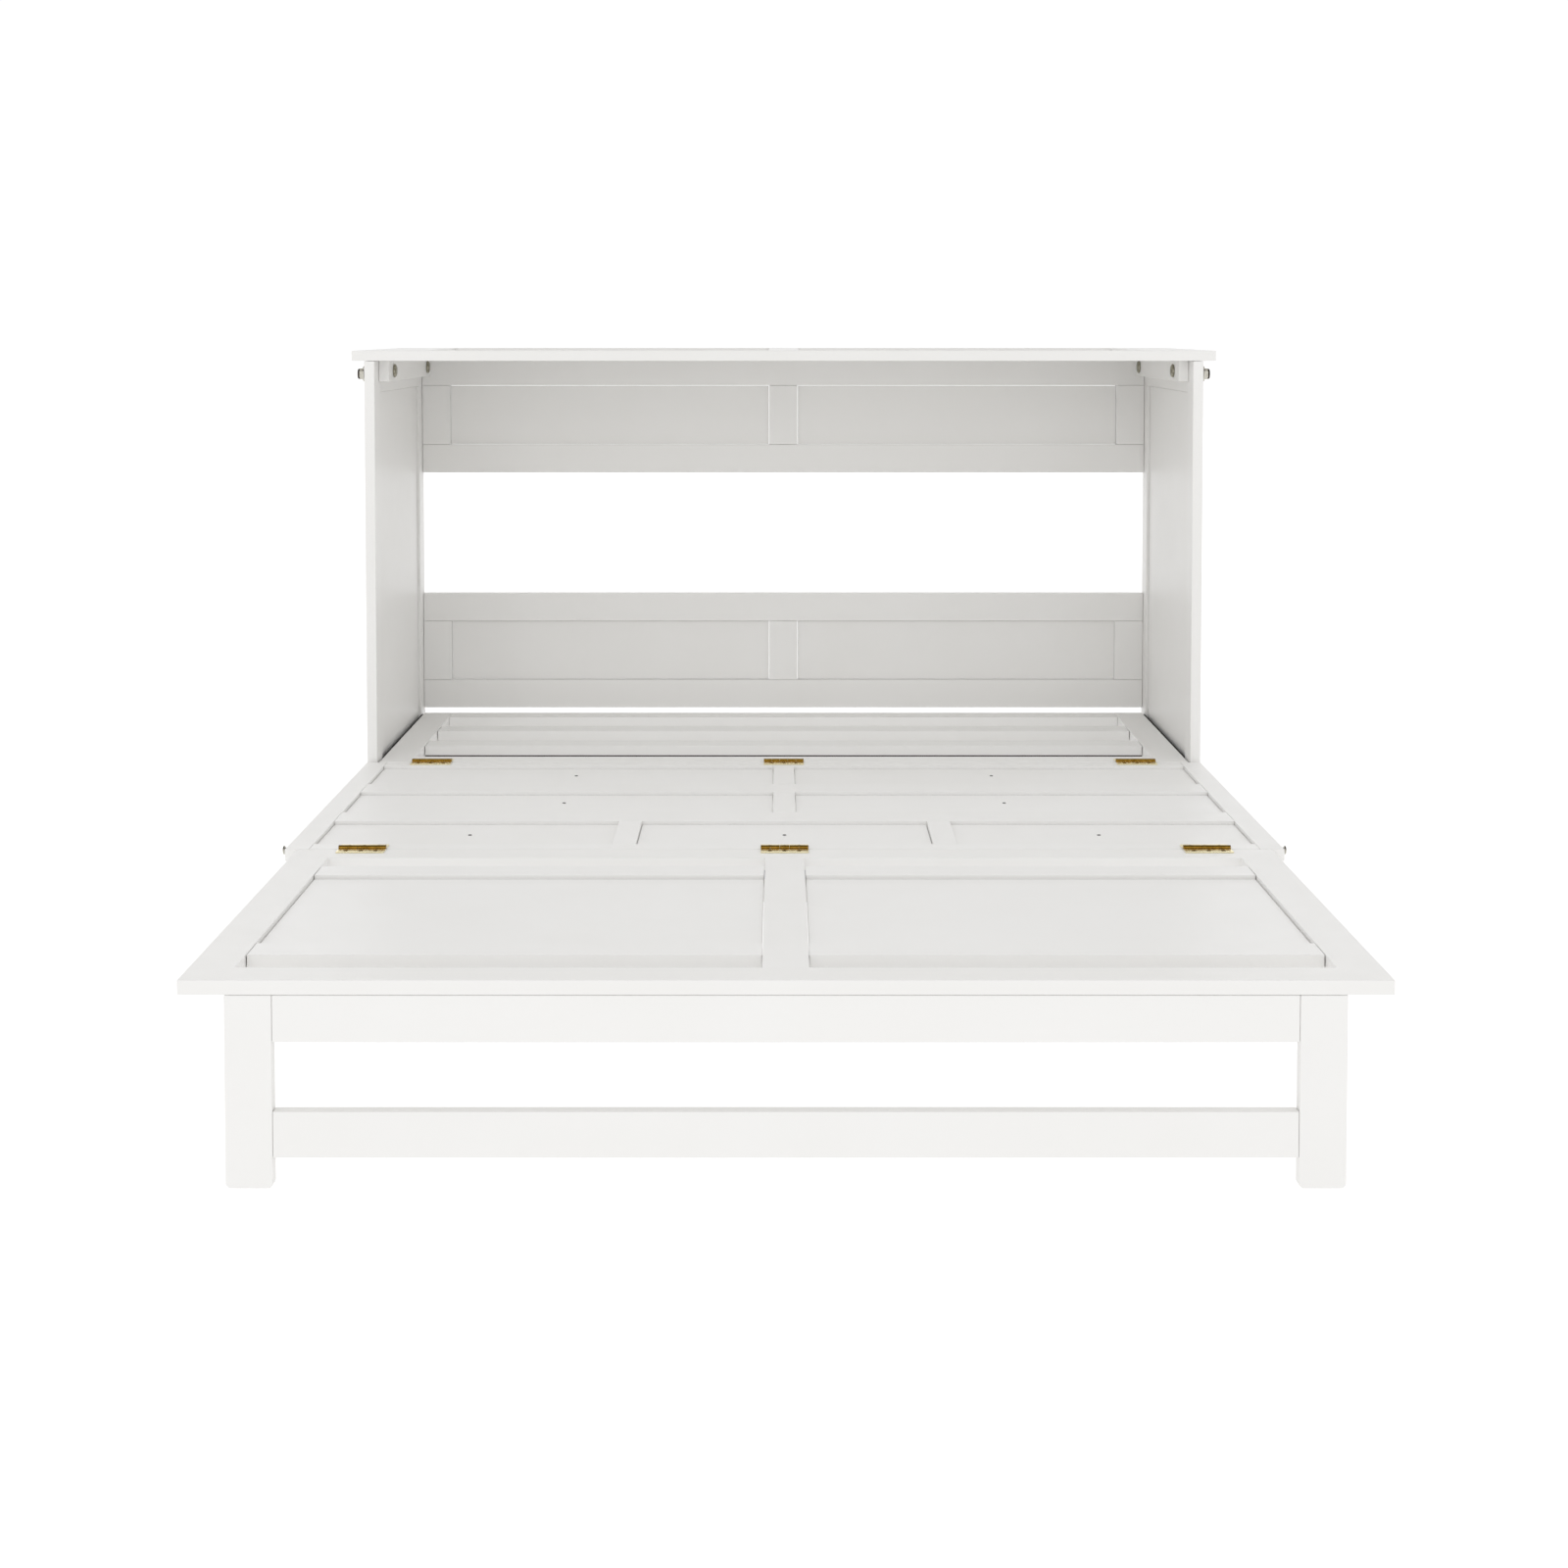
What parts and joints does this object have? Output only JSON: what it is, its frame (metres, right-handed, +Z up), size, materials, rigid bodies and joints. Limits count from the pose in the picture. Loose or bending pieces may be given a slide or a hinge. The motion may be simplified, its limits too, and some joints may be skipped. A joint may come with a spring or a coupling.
{
  "type": "cabinet bed",
  "caption": "White freestanding cabinet bed, unfolded: open cabinet at the back, drawer-look front lying flat as the deck, and a hinged foot section on folding leg frames.",
  "frame": {"origin": "on the floor, at the centre of the unfolded bed's width and length", "axes": "+X across the bed, +Y from the foot end to the cabinet's back, +Z up"},
  "size_m": [1.514, 1.9848, 0.974],
  "materials": {
    "white_lacquer": "satin white lacquer on solid wood and board",
    "brass": "polished brass-plated steel",
    "nickel": "satin nickel plate",
    "steel": "zinc-plated steel"
  },
  "bodies": {
    "cabinet": {"base_bearer_left": "white_lacquer", "base_bearer_right": "white_lacquer", "base_hinge_leaf_1": "brass", "base_hinge_leaf_2": "brass", "base_hinge_leaf_3": "brass", "base_rail_back": "white_lacquer", "base_rail_front": "white_lacquer", "base_rail_left": "white_lacquer", "base_rail_right": "white_lacquer", "base_slat_front": "white_lacquer", "base_slat_rear": "white_lacquer", "lower_back_board": "white_lacquer", "lower_back_panel": "white_lacquer", "lower_front_board": "white_lacquer", "side_panel_left": "white_lacquer", "side_panel_right": "white_lacquer", "top_cleat_left": "white_lacquer", "top_cleat_right": "white_lacquer", "top_panel": "white_lacquer", "upper_back_panel": "white_lacquer"},
    "front_panel": {"catch_stud_left": "nickel", "catch_stud_right": "nickel", "front_base_hinge_leaf_1": "brass", "front_base_hinge_leaf_2": "brass", "front_base_hinge_leaf_3": "brass", "front_foot_hinge_leaf_1": "brass", "front_foot_hinge_leaf_2": "brass", "front_foot_hinge_leaf_3": "brass", "front_panel": "white_lacquer", "knob_1": "nickel", "knob_2": "nickel", "knob_3": "nickel", "knob_4": "nickel", "knob_5": "nickel", "knob_6": "nickel", "knob_7": "nickel"},
    "foot_deck": {"foot_frame": "white_lacquer", "foot_hinge_leaf_1": "brass", "foot_hinge_leaf_2": "brass", "foot_hinge_leaf_3": "brass", "foot_plate_left": "white_lacquer", "foot_plate_right": "white_lacquer", "foot_slat_front_left": "white_lacquer", "foot_slat_front_right": "white_lacquer", "foot_slat_rear_left": "white_lacquer", "foot_slat_rear_right": "white_lacquer", "front_leg_hinge_deck_leaf": "steel", "rear_leg_hinge_deck_leaf": "steel"},
    "front_legs": {"front_leg_hinge_rail_leaf": "steel", "front_leg_left": "white_lacquer", "front_leg_lower_rail": "white_lacquer", "front_leg_right": "white_lacquer", "front_leg_upper_rail": "white_lacquer"},
    "rear_legs": {"rear_leg_hinge_rail_leaf": "steel", "rear_leg_left": "white_lacquer", "rear_leg_lower_rail": "white_lacquer", "rear_leg_right": "white_lacquer", "rear_leg_upper_rail": "white_lacquer"},
    "latch_left": {"latch_left": "nickel"},
    "latch_right": {"latch_right": "nickel"}
  },
  "joints": [
    {"name": "panel_fold", "type": "hinge", "parent": "cabinet", "child": "front_panel", "pos_m": [0, 0.41437, 0.2522], "axis": [-1, 0, 0], "range_deg": [0, 90]},
    {"name": "foot_fold", "type": "hinge", "parent": "front_panel", "child": "foot_deck", "pos_m": [0, -0.28863, 0.2522], "axis": [-1, 0, 0], "range_deg": [0, 180]},
    {"name": "front_leg_fold", "type": "hinge", "parent": "foot_deck", "child": "front_legs", "pos_m": [0, -0.97137, 0.228], "axis": [1, 0, 0], "range_deg": [0, 90]},
    {"name": "rear_leg_fold", "type": "hinge", "parent": "foot_deck", "child": "rear_legs", "pos_m": [0, -0.31038, 0.228], "axis": [-1, 0, 0], "range_deg": [0, 90]},
    {"name": "latch_left_turn", "type": "hinge", "parent": "cabinet", "child": "latch_left", "pos_m": [-0.735, 0.43638, 0.933], "axis": [-1, 0, 0], "range_deg": [0, 158.39]},
    {"name": "latch_right_turn", "type": "hinge", "parent": "cabinet", "child": "latch_right", "pos_m": [0.735, 0.43638, 0.933], "axis": [-1, 0, 0], "range_deg": [0, 158.39]}
  ]
}
